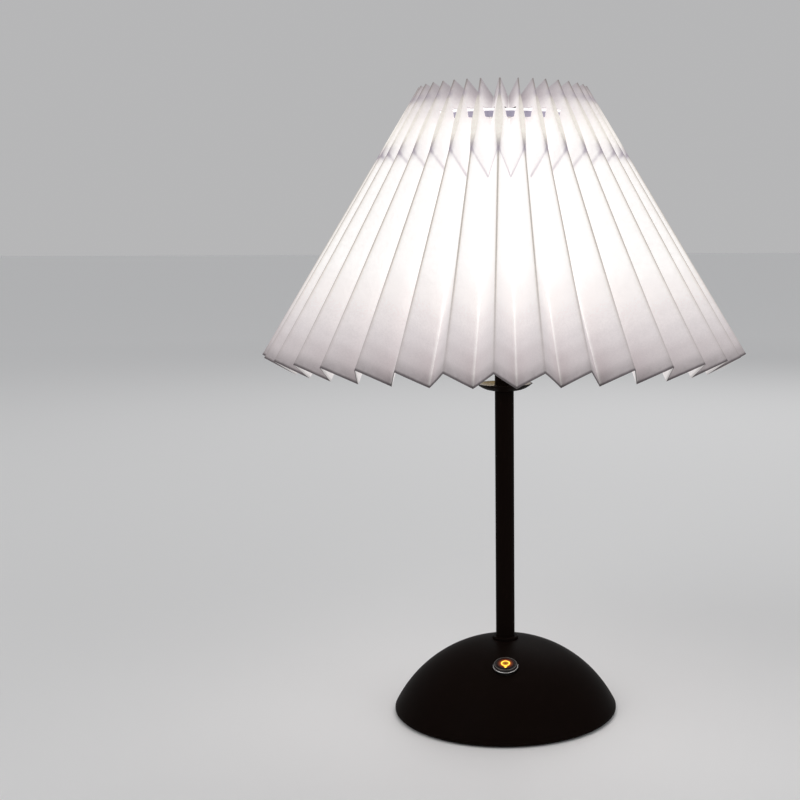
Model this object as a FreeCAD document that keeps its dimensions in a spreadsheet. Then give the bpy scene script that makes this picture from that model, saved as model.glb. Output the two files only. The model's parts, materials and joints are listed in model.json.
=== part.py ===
import FreeCAD, Part
import Sketcher
import math
import os
import re
from FreeCAD import Vector

# Pleated paper table lamp: a weighted dome base with a push button, a slim stem with a small
# dish, a flat light head on the stem's end, and a pleated shade hooked on the head's wire ring.
# Millimetres and degrees. +Z is up, the origin is the centre of the pad the lamp stands on,
# and the push button faces the front, which is -Y.

DRIVING_SIZES = [
    # Base casting: a shallow ball cap on a short upright skirt.
    ("base_radius", 59.5),
    ("base_height", 39.0),
    ("skirt_top", 2.6),
    ("lip_height", 0.8),
    ("lip_round", 0.7),
    ("dome_wall", 1.8),
    ("crown_flat_radius", 7.4),
    ("crown_boss_radius", 9.0),
    ("crown_boss_depth", 2.6),
    # Underside: pad, plate and ballast.
    ("pad_inset", 5.5),
    ("pad_hole_radius", 9.0),
    ("pad_thickness", 1.2),
    ("plate_thickness", 2.0),
    ("plate_clearance", 0.25),
    ("ballast_clearance", 3.0),
    ("ballast_thickness", 8.0),
    ("ballast_gap", 0.5),
    ("pillar_inset", 13.5),
    ("pillar_radius", 3.5),
    ("pillar_angle", 20.0),
    ("screw_radius", 1.5),
    ("screw_length", 9.0),
    ("screw_head_radius", 2.8),
    ("screw_head_depth", 1.3),
    # Cell and its tray, lying across the base behind the stem.
    ("cell_radius", 9.1),
    ("cell_length", 65.0),
    ("cell_offset", 15.0),
    ("cell_cap_radius", 3.0),
    ("cell_cap_height", 0.8),
    ("tray_wall", 1.2),
    ("tray_height", 9.0),
    ("tray_play", 0.2),
    # Boards.
    ("board_thickness", 1.6),
    ("control_length", 34.0),
    ("control_width", 34.0),
    ("control_offset", -15.0),
    ("standoff_height", 2.3),
    ("standoff_radius", 2.2),
    ("standoff_inset", 3.0),
    ("charge_length", 20.0),
    ("charge_width", 14.0),
    ("socket_width", 9.0),
    ("socket_height", 3.2),
    ("socket_depth", 7.3),
    ("socket_wall", 0.35),
    ("socket_back_wall", 0.7),
    ("socket_inset", 2.3),
    ("tongue_width", 6.0),
    ("tongue_length", 6.2),
    ("tongue_height", 0.7),
    ("socket_gap", 0.25),
    # Push button, set square to an axis that leans to the front.
    ("button_polar", 26.0),
    ("button_lean", 16.0),
    ("button_gap", 0.1),
    ("button_play", 0.05),
    ("bezel_radius", 6.3),
    ("bezel_top_radius", 5.7),
    ("bezel_height", 1.7),
    ("bezel_skirt", 2.0),
    ("bezel_barrel_radius", 5.4),
    ("bezel_barrel_length", 9.0),
    ("bezel_bore_radius", 4.8),
    ("bezel_lip", 0.4),
    ("bezel_edge", 0.1),
    ("cap_height", 5.0),
    ("cap_proud", 0.3),
    ("cap_chamfer", 0.3),
    ("button_travel", 0.8),
    ("button_spare", 0.2),
    ("symbol_radius", 2.3),
    ("symbol_line", 0.55),
    ("symbol_foot_width", 1.7),
    ("symbol_foot_step", 0.85),
    ("symbol_depth", 0.3),
    ("symbol_proud", 0.05),
    ("gasket_radius", 7.6),
    ("gasket_floor", 4.4),
    ("button_nut_flats", 14.6),
    ("button_nut_height", 2.4),
    ("switch_height", 5.2),
    ("switch_pin_radius", 0.4),
    ("switch_pin_length", 1.6),
    ("switch_pin_spacing", 5.0),
    # Stem and what clamps it in the base.
    ("stem_radius", 5.0),
    ("stem_bore_radius", 4.0),
    ("stem_gap", 0.05),
    ("stem_washer_radius", 8.4),
    ("stem_washer_thickness", 1.2),
    ("stem_nut_flats", 15.0),
    ("stem_nut_height", 4.5),
    ("stem_tail", 1.0),
    ("collar_radius", 7.0),
    ("collar_height", 1.6),
    ("collar_chamfer", 0.5),
    # Dish, a shallow bowl with a brass lining.
    ("dish_floor", 172.8),
    ("dish_radius", 14.9),
    ("dish_depth", 3.6),
    ("dish_flat_radius", 7.6),
    ("dish_wall", 0.8),
    ("liner_wall", 0.4),
    ("retainer_radius", 6.6),
    ("retainer_height", 1.5),
    ("retainer_edge", 0.2),
    # Light head: a shallow pan, open downwards, with its board, chips and diffuser.
    ("head_level", 310.0),
    ("head_radius", 43.5),
    ("head_rim_height", 2.8),
    ("head_wall", 1.0),
    ("head_slope_inset", 0.33),
    ("head_step_radius", 30.0),
    ("head_crown_radius", 27.0),
    ("head_crown_rise", 3.0),
    ("seat_radius", 6.5),
    ("seat_flange_radius", 10.0),
    ("seat_flange_height", 1.5),
    ("diffuser_thickness", 1.3),
    ("diffuser_gap", 0.2),
    ("led_board_radius", 26.0),
    ("led_board_thickness", 1.5),
    ("chip_circle", 19.0),
    ("chip_length", 3.5),
    ("chip_width", 2.8),
    ("chip_height", 0.8),
    ("chip_count", 12),
    ("head_washer_radius", 9.0),
    ("head_washer_thickness", 1.2),
    ("head_nut_flats", 14.0),
    ("head_nut_height", 3.4),
    ("head_nut_dome", 1.9),
    ("head_nut_flat_radius", 3.2),
    ("thread_end", 3.0),
    # Lead from the control board up the stem to the head.
    ("lead_radius", 1.0),
    ("lead_hole_gap", 0.2),
    ("lead_bend", 2.6),
    ("lead_end", 10.0),
    ("lead_drop", 0.1),
    # Shade: outer creases lie on one cone, inner creases on another.
    ("ring_wire_radius", 0.65),
    ("ring_inset", 0.7),
    ("ring_seat_gap", 0.02),
    ("pleat_count", 36),
    ("pleat_turn", -2.2),
    ("shade_rise", 18.4),
    ("shade_height", 134.9),
    ("shade_bottom_radius", 125.0),
    ("shade_top_radius", 43.3),
    ("groove_drop", 7.8),
    ("groove_bottom_depth", 13.5),
    ("groove_top_depth", 12.85),
    ("paper_thickness", 0.5),
    ("ridge_width", 0.6),
    ("dent_width", 2.7),
    ("dent_start", 6.9),
    ("dent_end", 34.9),
    ("crease_start", 4.0),
    ("crease_end", 39.9),
    ("notch_depth", 1.1),
    ("notch_gap", 0.3),
]
NAMES = {name for name, _ in DRIVING_SIZES}

doc = FreeCAD.newDocument("pleated_table_lamp")
sheet = doc.addObject("Spreadsheet::Sheet", "Sizes")
for row, (name, size) in enumerate(DRIVING_SIZES, start=1):
    sheet.set(f"A{row}", name)
    sheet.set(f"B{row}", str(size))
    sheet.setAlias(f"B{row}", name)
doc.recompute()


def bound(text):
    """Point every size named in a formula at its cell."""
    return re.sub(r"[a-z][a-z_]+", lambda word: "Sizes." + word[0] if word[0] in NAMES else word[0],
                  text)


def value(text):
    """The number that a formula of sizes comes to."""
    result = sheet.evalExpression(bound(text))
    return float(getattr(result, "Value", result))


# Levels and distances that follow from the sizes, as formulas that the objects are bound to.
PLATE_BOTTOM = "pad_thickness"
PLATE_TOP = "(pad_thickness + plate_thickness)"
BALLAST_TOP = f"({PLATE_TOP} + ballast_thickness)"
PILLAR_CIRCLE = "(base_radius - pillar_inset)"
BALL_RADIUS = ("((base_radius^2 + (base_height - skirt_top)^2)"
               " / (2 * (base_height - skirt_top)))")
BALL_CENTRE = f"(base_height - {BALL_RADIUS})"
INNER_BALL = f"({BALL_RADIUS} - dome_wall)"
CROWN_FLAT = f"({BALL_CENTRE} + sqrt({BALL_RADIUS}^2 - crown_flat_radius^2))"
CROWN_BOSS = "(base_height - crown_boss_depth)"
WALL_RADIUS = f"sqrt({INNER_BALL}^2 - ({PLATE_TOP} - {BALL_CENTRE})^2)"
PLATE_RADIUS = f"({WALL_RADIUS} - plate_clearance)"
BALLAST_RADIUS = (f"(sqrt({INNER_BALL}^2 - ({BALLAST_TOP} - {BALL_CENTRE})^2)"
                  " - ballast_clearance)")
CELL_AXIS = f"({PLATE_TOP} + tray_wall + cell_radius + tray_play / 2)"
TRAY_LENGTH = "(cell_length + cell_cap_height + 2 * tray_play + 2 * tray_wall)"
TRAY_WIDTH = "(2 * cell_radius + 2 * tray_play + 2 * tray_wall)"
CONTROL_BOTTOM = f"({BALLAST_TOP} + standoff_height)"
CONTROL_TOP = f"({CONTROL_BOTTOM} + board_thickness)"
SOCKET_BOTTOM = f"({PLATE_TOP} + board_thickness)"
SOCKET_BACK = "(base_radius - socket_inset - socket_depth)"
STEM_HOLE = "(stem_radius + stem_gap)"
STEM_WASHER_BOTTOM = f"({CROWN_BOSS} - stem_washer_thickness)"
STEM_NUT_BOTTOM = f"({STEM_WASHER_BOTTOM} - stem_nut_height)"
STEM_BOTTOM = f"({STEM_NUT_BOTTOM} - stem_tail)"
LINER_FLOOR = "(dish_floor + dish_wall)"
HEAD_RIM_TOP = "(head_level + head_rim_height)"
HEAD_CROWN_TOP = f"({HEAD_RIM_TOP} + head_crown_rise)"
HEAD_CEILING = f"({HEAD_CROWN_TOP} - head_wall)"
HEAD_WASHER_TOP = f"({HEAD_CROWN_TOP} + head_washer_thickness)"
STEM_TOP = f"({HEAD_WASHER_TOP} + thread_end)"
LED_BOARD_BOTTOM = f"({HEAD_CEILING} - led_board_thickness)"
LEAD_LEVEL = f"({LED_BOARD_BOTTOM} - lead_radius - lead_drop)"
RING_RADIUS = "(head_radius - ring_inset)"
RING_LEVEL = f"({HEAD_RIM_TOP} + ring_wire_radius + ring_seat_gap)"
NOTCH_RADIUS = "(head_radius + notch_depth)"
SHADE_TOP = "(head_level + shade_rise)"
SHADE_BOTTOM = f"({SHADE_TOP} - shade_height)"
GROOVE_TOP = f"({SHADE_TOP} - groove_drop)"
GROOVE_BOTTOM = f"({SHADE_BOTTOM} - groove_drop)"
BUTTON_FRONT = f"({BALL_RADIUS} * sin(button_polar))"
BUTTON_LEVEL = f"({BALL_CENTRE} + {BALL_RADIUS} * cos(button_polar))"
CAP_RADIUS = "(bezel_bore_radius - button_play)"
CAP_TOP = "(bezel_height + cap_proud)"
SWITCH_TOP = f"({CAP_TOP} - cap_height - button_travel - button_spare)"

# Shares of the way from the stem to the wall at which the dome's inside changes slope.
INSIDE_STEPS = (0.42, 0.65, 0.84)
# Flat sides that stand in for the ring wire's round.
WIRE_SIDES = 8
# Shares of a dish side's width and rise at which its slope changes.
DISH_STEPS = ((0.26, 0.12), (0.53, 0.34), (0.78, 0.64))


def bind(thing, **formulas):
    """Bind properties of an object to formulas; a double underscore stands for a dot."""
    for name, formula in formulas.items():
        thing.setExpression(name.replace("__", "."), bound(formula))
    return thing


def labelled(thing, label):
    thing.Label = label
    return thing


def cylinder(label, radius, height, x="0", y="0", z="0"):
    thing = labelled(doc.addObject("Part::Cylinder", label), label)
    bind(thing, Radius=radius, Height=height)
    return bind(thing, Placement__Base__x=x, Placement__Base__y=y, Placement__Base__z=z)


def box(label, length, width, height, x="0", y="0", z="0"):
    """A box centred on x and y, standing on z."""
    thing = labelled(doc.addObject("Part::Box", label), label)
    bind(thing, Length=length, Width=width, Height=height)
    return bind(thing, Placement__Base__x=f"{x} - ({length}) / 2",
                Placement__Base__y=f"{y} - ({width}) / 2", Placement__Base__z=z)


def ball(label, radius, z):
    thing = labelled(doc.addObject("Part::Sphere", label), label)
    return bind(thing, Radius=radius, Placement__Base__z=z)


def hex_prism(label, flats, height, z="0"):
    thing = labelled(doc.addObject("Part::Prism", label), label)
    thing.Polygon = 6
    return bind(thing, Circumradius=f"({flats}) / 2 / cos(30)", Height=height,
                Placement__Base__z=z)


def cut(label, base, tool):
    thing = labelled(doc.addObject("Part::Cut", label), label)
    thing.Base = base
    thing.Tool = tool
    return thing


def common(label, base, tool):
    thing = labelled(doc.addObject("Part::Common", label), label)
    thing.Base = base
    thing.Tool = tool
    return thing


def fuse(label, pieces):
    thing = labelled(doc.addObject("Part::MultiFuse", label), label)
    thing.Shapes = pieces
    return thing


def group(label, pieces):
    thing = labelled(doc.addObject("Part::Compound", label), label)
    thing.Links = pieces
    return thing


def origin_plane(body, role):
    return next(part for part in body.Origin.OriginFeatures if part.Role == role)


def draw_outline(sketch, outline):
    """Close an outline of points, each placed by two formulas.

    A point may carry a third formula, the radius of the arc that arrives at it, and a fourth
    entry that says on which side of the chord the arc's centre lies: "left" or "right".
    """
    spots = [Vector(value(point[0]), value(point[1]), 0) for point in outline]
    vertices = []
    for number, point in enumerate(outline):
        start = spots[number - 1]
        end = spots[number]
        if len(point) == 2:
            sketch.addGeometry(Part.LineSegment(start, end), False)
            vertices.append((1, 2))
            continue
        chord = end - start
        radius = value(point[2])
        left = point[3] == "left"
        side = Vector(-chord.y, chord.x, 0).normalize() * (1 if left else -1)
        centre = start + chord * 0.5 + side * math.sqrt(radius ** 2 - (chord.Length / 2) ** 2)
        first, last = (start, end) if left else (end, start)
        circle = Part.Circle(centre, Vector(0, 0, 1), radius)
        sketch.addGeometry(Part.ArcOfCircle(circle, circle.parameter(first),
                                            circle.parameter(last)), False)
        vertices.append((1, 2) if left else (2, 1))
    for number, point in enumerate(outline):
        for axis, formula in (("X", point[0]), ("Y", point[1])):
            place = f"Distance{axis}_{number}"
            index = sketch.addConstraint(Sketcher.Constraint(
                "Distance" + axis, -1, 1, number, vertices[number][1], value(formula)))
            sketch.renameConstraint(index, place)
            sketch.setExpression("Constraints." + place, bound(formula))
        if len(point) == 4:
            index = sketch.addConstraint(Sketcher.Constraint("Radius", number, value(point[2])))
            sketch.renameConstraint(index, f"Radius_{number}")
            sketch.setExpression(f"Constraints.Radius_{number}", bound(point[2]))
        sketch.addConstraint(Sketcher.Constraint(
            "Coincident", (number - 1) % len(outline), vertices[number - 1][1],
            number, vertices[number][0]))


def turned(label, outline):
    """A body turned about Z from an outline of (radius, height) formulas."""
    body = labelled(doc.addObject("PartDesign::Body", label), label)
    sketch = body.newObject("Sketcher::SketchObject", label + "_outline")
    sketch.AttachmentSupport = (origin_plane(body, "XZ_Plane"), [""])
    sketch.MapMode = "FlatFace"
    draw_outline(sketch, outline)
    turn = body.newObject("PartDesign::Revolution", label + "_turn")
    turn.Profile = sketch
    turn.ReferenceAxis = (sketch, ["V_Axis"])
    turn.Angle = 360
    body.Tip = turn
    return body


def turned_by(thing, axis, angle):
    """Fix the axis that an object turns about and bind its angle to a formula."""
    thing.Placement = FreeCAD.Placement(Vector(), FreeCAD.Rotation(axis, value(angle)))
    return bind(thing, Placement__Rotation__Angle=angle)


def on_button_axis(thing, z="0"):
    """Put something made about Z on the button's leaning axis, z along it."""
    turned_by(thing, Vector(1, 0, 0), "button_lean")
    return bind(thing, Placement__Base__y=f"-{BUTTON_FRONT} - ({z}) * sin(button_lean)",
                Placement__Base__z=f"{BUTTON_LEVEL} + ({z}) * cos(button_lean)")


# ---------------------------------------------------------------- base

def screw_spots():
    for x_side, y_side in ((1, 1), (-1, 1), (-1, -1), (1, -1)):
        yield (f"{x_side} * {PILLAR_CIRCLE} * cos(pillar_angle)",
               f"{y_side} * {PILLAR_CIRCLE} * sin(pillar_angle)")


def under_dome(radius):
    """The point of the dome's inside at one radius."""
    return radius, f"{BALL_CENTRE} + sqrt({INNER_BALL}^2 - ({radius})^2)"


def make_base_casting():
    shell = turned("base_dome_shell", [
        ("base_radius - lip_round", "lip_height"),
        ("base_radius", "lip_height + lip_round"),
        ("base_radius", "skirt_top"),
        ("crown_flat_radius", CROWN_FLAT, BALL_RADIUS, "left"),
        (STEM_HOLE, CROWN_FLAT),
        (STEM_HOLE, CROWN_BOSS),
        ("crown_boss_radius", CROWN_BOSS),
        under_dome("crown_boss_radius"),
        *[under_dome(f"{share} * {WALL_RADIUS}") for share in INSIDE_STEPS],
        (WALL_RADIUS, PLATE_TOP),
        (WALL_RADIUS, "lip_height"),
    ])
    pillars = [cylinder(f"pillar_{number}", "pillar_radius", f"base_height - {PLATE_TOP}",
                        x, y, PLATE_TOP) for number, (x, y) in enumerate(screw_spots())]
    inside = ball("dome_inside", f"{BALL_RADIUS} - dome_wall / 2", BALL_CENTRE)
    return fuse("base_casting", [shell, common("pillars_trimmed", group("pillars", pillars), inside)])


def make_base_dome():
    pilot_holes = [cylinder(f"pilot_hole_{number}", "screw_radius", "screw_length", x, y, PLATE_TOP)
                   for number, (x, y) in enumerate(screw_spots())]
    button_hole = on_button_axis(
        cylinder("button_hole", "bezel_barrel_radius + button_gap", "2 * bezel_barrel_length"),
        "-bezel_barrel_length")
    socket_hole = box("socket_hole", "socket_width + 2 * socket_gap", "base_radius",
                      "socket_height + 2 * socket_gap", "0", f"{SOCKET_BACK} + base_radius / 2",
                      f"{SOCKET_BOTTOM} - socket_gap")
    cutters = group("base_cutters", [button_hole, socket_hole] + pilot_holes)
    return cut("base_dome", CASTING, cutters)


def make_base_plate():
    blank = cylinder("base_plate_blank", PLATE_RADIUS, "plate_thickness", z=PLATE_BOTTOM)
    holes = []
    for number, (x, y) in enumerate(screw_spots()):
        holes.append(cylinder(f"plate_hole_{number}", "screw_radius + stem_gap",
                              "plate_thickness", x, y, PLATE_BOTTOM))
        holes.append(cylinder(f"plate_sink_{number}", "screw_head_radius + stem_gap",
                              "screw_head_depth", x, y, PLATE_BOTTOM))
    return cut("base_plate", blank, group("plate_holes", holes))


def make_base_screws():
    screws = []
    for number, (x, y) in enumerate(screw_spots()):
        head = cylinder(f"screw_head_{number}", "screw_head_radius", "screw_head_depth",
                        x, y, PLATE_BOTTOM)
        shank = cylinder(f"screw_shank_{number}", "screw_radius - stem_gap",
                         "plate_thickness + screw_length - screw_radius", x, y, PLATE_BOTTOM)
        screws.append(fuse(f"screw_{number}", [head, shank]))
    return group("base_screws", screws)


def make_standing_pad():
    pad = cylinder("pad_blank", "base_radius - pad_inset", "pad_thickness")
    return cut("standing_pad", pad, cylinder("pad_hole", "pad_hole_radius", "pad_thickness"))


def make_ballast():
    blank = cylinder("ballast_blank", BALLAST_RADIUS, "ballast_thickness", z=PLATE_TOP)
    room = [
        box("tray_room", f"{TRAY_LENGTH} + 2 * ballast_gap", f"{TRAY_WIDTH} + 2 * ballast_gap",
            "ballast_thickness", "0", "cell_offset", PLATE_TOP),
        box("charge_room", "charge_length + 2 * ballast_gap", BALLAST_RADIUS,
            "ballast_thickness", "0", f"cell_offset + {BALLAST_RADIUS} / 2", PLATE_TOP),
    ]
    for number, (x, y) in enumerate(screw_spots()):
        room.append(cylinder(f"pillar_room_{number}", "pillar_radius + ballast_gap",
                             "ballast_thickness", x, y, PLATE_TOP))
    return cut("ballast_disc", blank, group("ballast_room", room))


def make_battery_tray():
    tray = box("tray_blank", TRAY_LENGTH, TRAY_WIDTH, "tray_height", "0", "cell_offset", PLATE_TOP)
    room = box("cell_room", f"{TRAY_LENGTH} - 2 * tray_wall", f"{TRAY_WIDTH} - 2 * tray_wall",
               "tray_height", "0", "cell_offset", f"{PLATE_TOP} + tray_wall")
    return cut("battery_tray", tray, room)


def make_battery_cell():
    can = cylinder("cell_can", "cell_radius", "cell_length")
    tip = cylinder("cell_tip", "cell_cap_radius", "cell_cap_height", z="cell_length")
    for piece, start in ((can, "0"), (tip, "cell_length")):
        turned_by(piece, Vector(0, 1, 0), "90")
        bind(piece, Placement__Base__x=f"{start} - (cell_length + cell_cap_height) / 2",
             Placement__Base__y="cell_offset", Placement__Base__z=CELL_AXIS)
    return fuse("battery_cell", [can, tip])


def make_control_board():
    return box("control_board", "control_length", "control_width", "board_thickness",
               "0", "control_offset", CONTROL_BOTTOM)


def make_board_standoffs():
    posts = []
    for x_side, y_side in ((1, 1), (-1, 1), (-1, -1), (1, -1)):
        posts.append(cylinder(
            f"standoff_{len(posts)}", "standoff_radius", "standoff_height",
            f"{x_side} * (control_length / 2 - standoff_inset)",
            f"control_offset + {y_side} * (control_width / 2 - standoff_inset)", BALLAST_TOP))
    return group("board_standoffs", posts)


def make_charge_board():
    return box("charge_board", "charge_length", "charge_width", "board_thickness", "0",
               f"{SOCKET_BACK} + socket_depth / 2 - charge_width / 2", PLATE_TOP)


def make_charge_socket():
    middle = f"{SOCKET_BACK} + socket_depth / 2"
    blank = box("socket_blank", "socket_width", "socket_depth", "socket_height",
                "0", middle, SOCKET_BOTTOM)
    rounded = labelled(doc.addObject("Part::Fillet", "socket_rounded"), "socket_rounded")
    rounded.Base = blank
    doc.recompute()
    corner = value("socket_height / 2 - socket_wall / 2")
    rounded.Edges = [(number, corner, corner) for number, edge in enumerate(blank.Shape.Edges, 1)
                     if abs(edge.tangentAt(edge.FirstParameter).y) > 0.9]
    mouth = box("socket_mouth", "socket_width - 2 * socket_wall", "socket_depth",
                "socket_height - 2 * socket_wall", "0", f"{middle} + socket_back_wall",
                f"{SOCKET_BOTTOM} + socket_wall")
    tongue = box("socket_tongue", "tongue_width", "tongue_length", "tongue_height",
                 "0", f"{SOCKET_BACK} + tongue_length / 2",
                 f"{SOCKET_BOTTOM} + (socket_height - tongue_height) / 2")
    return fuse("charge_socket", [cut("socket_shell", rounded, mouth), tongue])


# ---------------------------------------------------------------- push button

def make_button_bezel():
    ring = on_button_axis(turned("bezel_ring", [
        ("bezel_bore_radius", "-bezel_barrel_length"),
        ("bezel_barrel_radius", "-bezel_barrel_length"),
        ("bezel_barrel_radius", "-bezel_skirt"),
        ("bezel_radius", "-bezel_skirt"),
        ("bezel_radius", "bezel_height - (bezel_radius - bezel_top_radius)"),
        ("bezel_top_radius", "bezel_height"),
        ("bezel_bore_radius + bezel_edge", "bezel_height"),
        ("bezel_bore_radius", "bezel_height - bezel_lip"),
    ]))
    dome = ball("bezel_seat_ball", BALL_RADIUS, BALL_CENTRE)
    barrel_room = on_button_axis(
        cylinder("barrel_room", "bezel_barrel_radius", "2 * bezel_barrel_length"),
        "-2 * bezel_barrel_length")
    return cut("button_bezel", ring, cut("bezel_seat_cutter", dome, barrel_room))


def make_button_cap():
    cap = turned("cap_blank", [
        ("0", f"{CAP_TOP} - cap_height"),
        (CAP_RADIUS, f"{CAP_TOP} - cap_height"),
        (CAP_RADIUS, f"{CAP_TOP} - cap_chamfer"),
        (f"{CAP_RADIUS} - cap_chamfer", CAP_TOP),
        ("0", CAP_TOP),
    ])
    return cut("button_cap", on_button_axis(cap), symbol_solid("symbol_recess", "0"))


def symbol_solid(label, proud):
    """A light-bulb sign: a ring with two short strokes under it, towards the front."""
    floor = f"{CAP_TOP} - symbol_depth"
    height = f"symbol_depth + {proud}"
    outside = cylinder(label + "_outside", "symbol_radius", height)
    inside = cylinder(label + "_inside", "symbol_radius - symbol_line", height)
    pieces = [on_button_axis(cut(label + "_ring", outside, inside), floor)]
    for number in (1, 2):
        centre = f"-(symbol_radius + symbol_foot_step * {number} - symbol_line / 2)"
        stroke = labelled(doc.addObject("Part::Box", f"{label}_stroke_{number}"),
                          f"{label}_stroke_{number}")
        bind(stroke, Length=f"symbol_foot_width / {number}", Width="symbol_line", Height=height)
        bind(stroke, Placement__Base__x=f"-symbol_foot_width / {number} / 2",
             Placement__Base__y=f"{centre} - symbol_line / 2")
        pieces.append(on_button_axis(group(f"{label}_foot_{number}", [stroke]), floor))
    return group(label, pieces)


def make_button_gasket():
    washer = on_button_axis(turned("gasket_blank", [
        ("bezel_barrel_radius + button_gap", "-gasket_floor"),
        ("gasket_radius", "-gasket_floor"),
        ("gasket_radius", "0"),
        ("bezel_barrel_radius + button_gap", "0"),
    ]))
    inside = common("gasket_inside", washer, ball("gasket_ball", INNER_BALL, BALL_CENTRE))
    return cut("button_gasket", inside, CASTING)


def make_button_nut():
    nut = hex_prism("button_nut_blank", "button_nut_flats", "button_nut_height")
    bore = cylinder("button_nut_bore", "bezel_barrel_radius + stem_gap", "button_nut_height")
    return on_button_axis(cut("button_nut", nut, bore), "-gasket_floor - button_nut_height")


def make_button_switch():
    case = cylinder("switch_case", f"{CAP_RADIUS}", "switch_height")
    pins = [case]
    for side in (-1, 1):
        pins.append(cylinder(f"switch_pin_{side + 2}", "switch_pin_radius", "switch_pin_length",
                             f"{side} * switch_pin_spacing / 2", "0", "-switch_pin_length"))
    return on_button_axis(fuse("button_switch", pins), f"{SWITCH_TOP} - switch_height")


# ---------------------------------------------------------------- stem and dish

def make_stem_tube():
    tube = cylinder("stem_outside", "stem_radius", f"{STEM_TOP} - {STEM_BOTTOM}", z=STEM_BOTTOM)
    bore = cylinder("stem_bore", "stem_bore_radius", f"{STEM_TOP} - {STEM_BOTTOM}", z=STEM_BOTTOM)
    window = cylinder("stem_window", "lead_radius + lead_hole_gap", "2 * stem_radius")
    lay_along_x(window)
    return cut("stem_tube", tube, group("stem_cutters", [bore, window]))


def lay_along_x(piece):
    turned_by(piece, Vector(0, 1, 0), "90")
    bind(piece, Placement__Base__z=LEAD_LEVEL)


def make_stem_collar():
    return turned("stem_collar", [
        (STEM_HOLE, CROWN_FLAT),
        ("collar_radius", CROWN_FLAT),
        ("collar_radius", f"{CROWN_FLAT} + collar_height - collar_chamfer"),
        ("collar_radius - collar_chamfer", f"{CROWN_FLAT} + collar_height"),
        (STEM_HOLE, f"{CROWN_FLAT} + collar_height"),
    ])


def make_stem_washer():
    disc = cylinder("stem_washer_blank", "stem_washer_radius", "stem_washer_thickness",
                    z=STEM_WASHER_BOTTOM)
    hole = cylinder("stem_washer_hole", STEM_HOLE, "stem_washer_thickness", z=STEM_WASHER_BOTTOM)
    return cut("stem_washer", disc, hole)


def make_stem_nut():
    nut = hex_prism("stem_nut_blank", "stem_nut_flats", "stem_nut_height", STEM_NUT_BOTTOM)
    bore = cylinder("stem_nut_bore", STEM_HOLE, "stem_nut_height", z=STEM_NUT_BOTTOM)
    return cut("stem_nut", nut, bore)


def dish_side(floor, inset):
    """Points up the side of the dish, from the edge of its floor to its rim."""
    width = f"(dish_radius - {inset} - dish_flat_radius)"
    rise = f"(dish_floor + dish_depth - {floor})"
    return [(f"dish_flat_radius + {across} * {width}", f"{floor} + {up} * {rise}")
            for across, up in ((0, 0), *DISH_STEPS, (1, 1))]


def bowl(label, floor, inset, wall):
    """A bowl with a flat floor round the stem and a side that steepens outwards."""
    upper = f"({floor} + {wall})"
    return turned(label, [
        (STEM_HOLE, floor),
        *dish_side(floor, inset),
        *reversed(dish_side(upper, f"({inset} + {wall})")),
        (STEM_HOLE, upper),
    ])


def make_dish_shell():
    return bowl("dish_shell", "dish_floor", "0", "dish_wall")


def make_dish_liner():
    return bowl("dish_liner", LINER_FLOOR, "dish_wall", "liner_wall")


def make_dish_retainer():
    level = f"({LINER_FLOOR} + liner_wall)"
    return turned("dish_retainer", [
        (STEM_HOLE, level),
        ("retainer_radius", level),
        (f"{STEM_HOLE} + retainer_edge", f"{level} + retainer_height"),
        (STEM_HOLE, f"{level} + retainer_height"),
    ])


# ---------------------------------------------------------------- light head

def make_head_pan():
    return turned("head_pan", [
        ("head_radius", "head_level"),
        ("head_radius", HEAD_RIM_TOP),
        ("head_step_radius", HEAD_RIM_TOP),
        ("head_crown_radius", HEAD_CROWN_TOP),
        (STEM_HOLE, HEAD_CROWN_TOP),
        (STEM_HOLE, HEAD_CEILING),
        ("head_crown_radius - head_slope_inset", HEAD_CEILING),
        ("head_step_radius - head_slope_inset", f"{HEAD_RIM_TOP} - head_wall"),
        ("head_radius - head_wall", f"{HEAD_RIM_TOP} - head_wall"),
        ("head_radius - head_wall", "head_level"),
    ])


def make_head_seat():
    flange = turned("head_seat_blank", [
        (STEM_HOLE, "head_level - seat_flange_height"),
        ("seat_flange_radius", "head_level - seat_flange_height"),
        ("seat_flange_radius", "head_level"),
        ("seat_radius", "head_level"),
        ("seat_radius", HEAD_CEILING),
        (STEM_HOLE, HEAD_CEILING),
    ])
    window = cylinder("seat_window", "lead_radius + lead_hole_gap", "2 * seat_radius")
    lay_along_x(window)
    return cut("head_seat", flange, window)


def ring_plate(label, outer, inner, thickness, z):
    disc = cylinder(label + "_blank", outer, thickness, z=z)
    return cut(label, disc, cylinder(label + "_hole", inner, thickness, z=z))


def make_head_diffuser():
    return ring_plate("head_diffuser", "head_radius - head_wall - diffuser_gap",
                      "seat_radius + diffuser_gap", "diffuser_thickness", "head_level")


def make_led_board():
    return ring_plate("led_board", "led_board_radius", "seat_radius + diffuser_gap",
                      "led_board_thickness", LED_BOARD_BOTTOM)


def make_led_chips():
    count = int(value("chip_count"))
    chips = []
    for number in range(count):
        turn = f"({number} + 0.5) * 360 / chip_count"
        chip = labelled(doc.addObject("Part::Box", f"led_chip_{number}"), f"led_chip_{number}")
        bind(chip, Length="chip_width", Width="chip_length", Height="chip_height")
        turned_by(chip, Vector(0, 0, 1), turn)
        bind(chip, Placement__Base__x=f"chip_circle * cos({turn}) + chip_length / 2 * sin({turn})",
             Placement__Base__y=f"chip_circle * sin({turn}) - chip_length / 2 * cos({turn})",
             Placement__Base__z=f"{LED_BOARD_BOTTOM} - chip_height")
        chips.append(chip)
    return group("led_chips", chips)


def make_head_washer():
    return ring_plate("head_washer", "head_washer_radius", STEM_HOLE, "head_washer_thickness",
                      HEAD_CROWN_TOP)


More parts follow.
